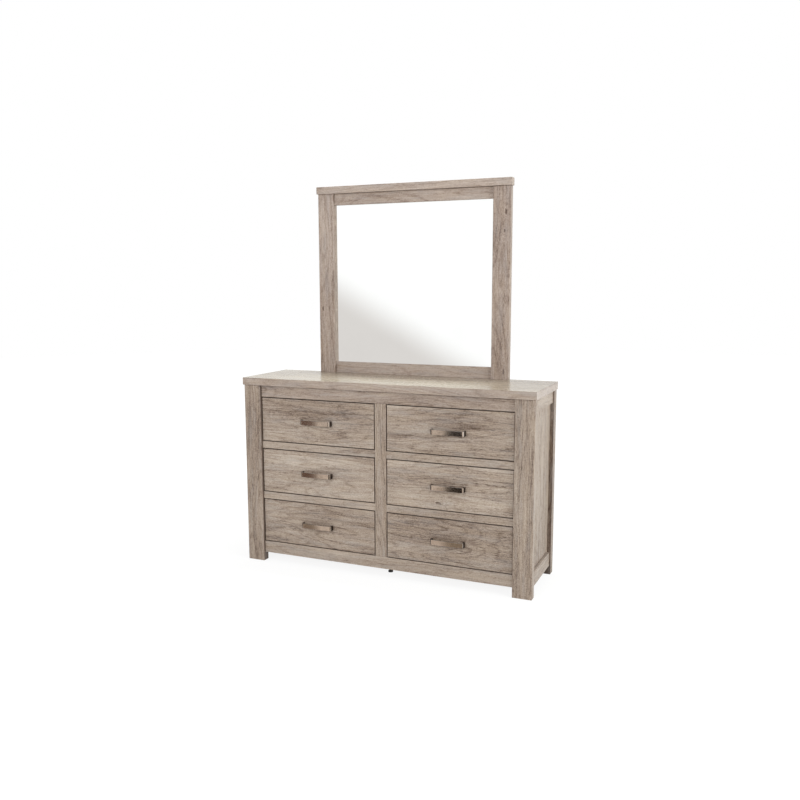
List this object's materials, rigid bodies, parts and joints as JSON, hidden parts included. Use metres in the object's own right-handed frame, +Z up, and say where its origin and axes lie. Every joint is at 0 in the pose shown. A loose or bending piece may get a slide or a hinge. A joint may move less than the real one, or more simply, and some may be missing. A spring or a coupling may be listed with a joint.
{
  "type": "dresser with mirror",
  "caption": "Wide low dresser with inset drawers side by side, bow pulls, square legs and a framed mirror standing on its top.",
  "frame": {"origin": "on the floor, under the middle of the overall box", "axes": "+Z up, +X to the right of someone facing the drawers, +Y to the back; the drawers open towards -Y"},
  "size_m": [1.512, 0.449, 1.914],
  "materials": {
    "oak_laminate": "washed grey-taupe oak print, satin, grain along each piece",
    "carcass_board": "plain sawn board, matt",
    "hardboard": "thin pressed board, printed grey-taupe face, matt",
    "drawer_lining": "light linen-print foil on board, matt",
    "slide_steel": "zinc-plated rolled steel",
    "pull_metal": "antique pewter, semi-bright",
    "mirror_glass": "flat silvered mirror",
    "foot_plastic": "black moulded",
    "screw_zinc": "zinc-plated"
  },
  "bodies": {
    "case": {"back_panel": "hardboard", "back_rails": "carcass_board", "centre_beam": "carcass_board", "centre_partition": "carcass_board", "centre_stile": "oak_laminate", "front_bottom_rail": "oak_laminate", "front_middle_rails": "oak_laminate", "front_top_rail": "oak_laminate", "legs_front": "oak_laminate", "legs_rear": "oak_laminate", "mirror_backboard": "hardboard", "mirror_cap": "oak_laminate", "mirror_glass": "mirror_glass", "mirror_rails": "oak_laminate", "mirror_stiles": "oak_laminate", "mirror_supports": "carcass_board", "side_panels": "oak_laminate", "side_rails": "oak_laminate", "slide_bearers": "carcass_board", "slide_case_members": "slide_steel", "support_screws": "screw_zinc", "top_panel": "oak_laminate"},
    "drawer_bottom_left": {"drawer_bottom_left_bottom": "hardboard", "drawer_bottom_left_box": "drawer_lining", "drawer_bottom_left_front": "oak_laminate", "drawer_bottom_left_handle": "pull_metal", "drawer_bottom_left_slide_members": "slide_steel"},
    "drawer_bottom_right": {"drawer_bottom_right_bottom": "hardboard", "drawer_bottom_right_box": "drawer_lining", "drawer_bottom_right_front": "oak_laminate", "drawer_bottom_right_handle": "pull_metal", "drawer_bottom_right_slide_members": "slide_steel"},
    "drawer_middle_left": {"drawer_middle_left_bottom": "hardboard", "drawer_middle_left_box": "drawer_lining", "drawer_middle_left_front": "oak_laminate", "drawer_middle_left_handle": "pull_metal", "drawer_middle_left_slide_members": "slide_steel"},
    "drawer_middle_right": {"drawer_middle_right_bottom": "hardboard", "drawer_middle_right_box": "drawer_lining", "drawer_middle_right_front": "oak_laminate", "drawer_middle_right_handle": "pull_metal", "drawer_middle_right_slide_members": "slide_steel"},
    "drawer_top_left": {"drawer_top_left_bottom": "hardboard", "drawer_top_left_box": "drawer_lining", "drawer_top_left_front": "oak_laminate", "drawer_top_left_handle": "pull_metal", "drawer_top_left_slide_members": "slide_steel"},
    "drawer_top_right": {"drawer_top_right_bottom": "hardboard", "drawer_top_right_box": "drawer_lining", "drawer_top_right_front": "oak_laminate", "drawer_top_right_handle": "pull_metal", "drawer_top_right_slide_members": "slide_steel"},
    "slide_bottom_left": {"slide_bottom_left_middle_members": "slide_steel"},
    "slide_bottom_right": {"slide_bottom_right_middle_members": "slide_steel"},
    "slide_middle_left": {"slide_middle_left_middle_members": "slide_steel"},
    "slide_middle_right": {"slide_middle_right_middle_members": "slide_steel"},
    "slide_top_left": {"slide_top_left_middle_members": "slide_steel"},
    "slide_top_right": {"slide_top_right_middle_members": "slide_steel"},
    "centre_foot_front": {"centre_foot_front": "foot_plastic"},
    "centre_foot_rear": {"centre_foot_rear": "foot_plastic"}
  },
  "joints": [
    {"name": "drawer_bottom_left_pull", "type": "slide", "parent": "case", "child": "drawer_bottom_left", "axis": [0, -1, 0], "range_m": [0, 0.34]},
    {"name": "slide_bottom_left_extend", "type": "slide", "parent": "case", "child": "slide_bottom_left", "axis": [0, -1, 0], "range_m": [0, 0.17]},
    {"name": "drawer_bottom_right_pull", "type": "slide", "parent": "case", "child": "drawer_bottom_right", "axis": [0, -1, 0], "range_m": [0, 0.34]},
    {"name": "slide_bottom_right_extend", "type": "slide", "parent": "case", "child": "slide_bottom_right", "axis": [0, -1, 0], "range_m": [0, 0.17]},
    {"name": "drawer_middle_left_pull", "type": "slide", "parent": "case", "child": "drawer_middle_left", "axis": [0, -1, 0], "range_m": [0, 0.34]},
    {"name": "slide_middle_left_extend", "type": "slide", "parent": "case", "child": "slide_middle_left", "axis": [0, -1, 0], "range_m": [0, 0.17]},
    {"name": "drawer_middle_right_pull", "type": "slide", "parent": "case", "child": "drawer_middle_right", "axis": [0, -1, 0], "range_m": [0, 0.34]},
    {"name": "slide_middle_right_extend", "type": "slide", "parent": "case", "child": "slide_middle_right", "axis": [0, -1, 0], "range_m": [0, 0.17]},
    {"name": "drawer_top_left_pull", "type": "slide", "parent": "case", "child": "drawer_top_left", "axis": [0, -1, 0], "range_m": [0, 0.34]},
    {"name": "slide_top_left_extend", "type": "slide", "parent": "case", "child": "slide_top_left", "axis": [0, -1, 0], "range_m": [0, 0.17]},
    {"name": "drawer_top_right_pull", "type": "slide", "parent": "case", "child": "drawer_top_right", "axis": [0, -1, 0], "range_m": [0, 0.34]},
    {"name": "slide_top_right_extend", "type": "slide", "parent": "case", "child": "slide_top_right", "axis": [0, -1, 0], "range_m": [0, 0.17]},
    {"name": "centre_foot_front_adjust", "type": "slide", "parent": "case", "child": "centre_foot_front", "axis": [0, 0, 1], "range_m": [0, 0.008]},
    {"name": "centre_foot_rear_adjust", "type": "slide", "parent": "case", "child": "centre_foot_rear", "axis": [0, 0, 1], "range_m": [0, 0.008]}
  ],
  "couplings": [
    {"joint": "slide_bottom_left_extend", "follows": "drawer_bottom_left_pull", "ratio": 0.5},
    {"joint": "slide_bottom_right_extend", "follows": "drawer_bottom_right_pull", "ratio": 0.5},
    {"joint": "slide_middle_left_extend", "follows": "drawer_middle_left_pull", "ratio": 0.5},
    {"joint": "slide_middle_right_extend", "follows": "drawer_middle_right_pull", "ratio": 0.5},
    {"joint": "slide_top_left_extend", "follows": "drawer_top_left_pull", "ratio": 0.5},
    {"joint": "slide_top_right_extend", "follows": "drawer_top_right_pull", "ratio": 0.5}
  ]
}
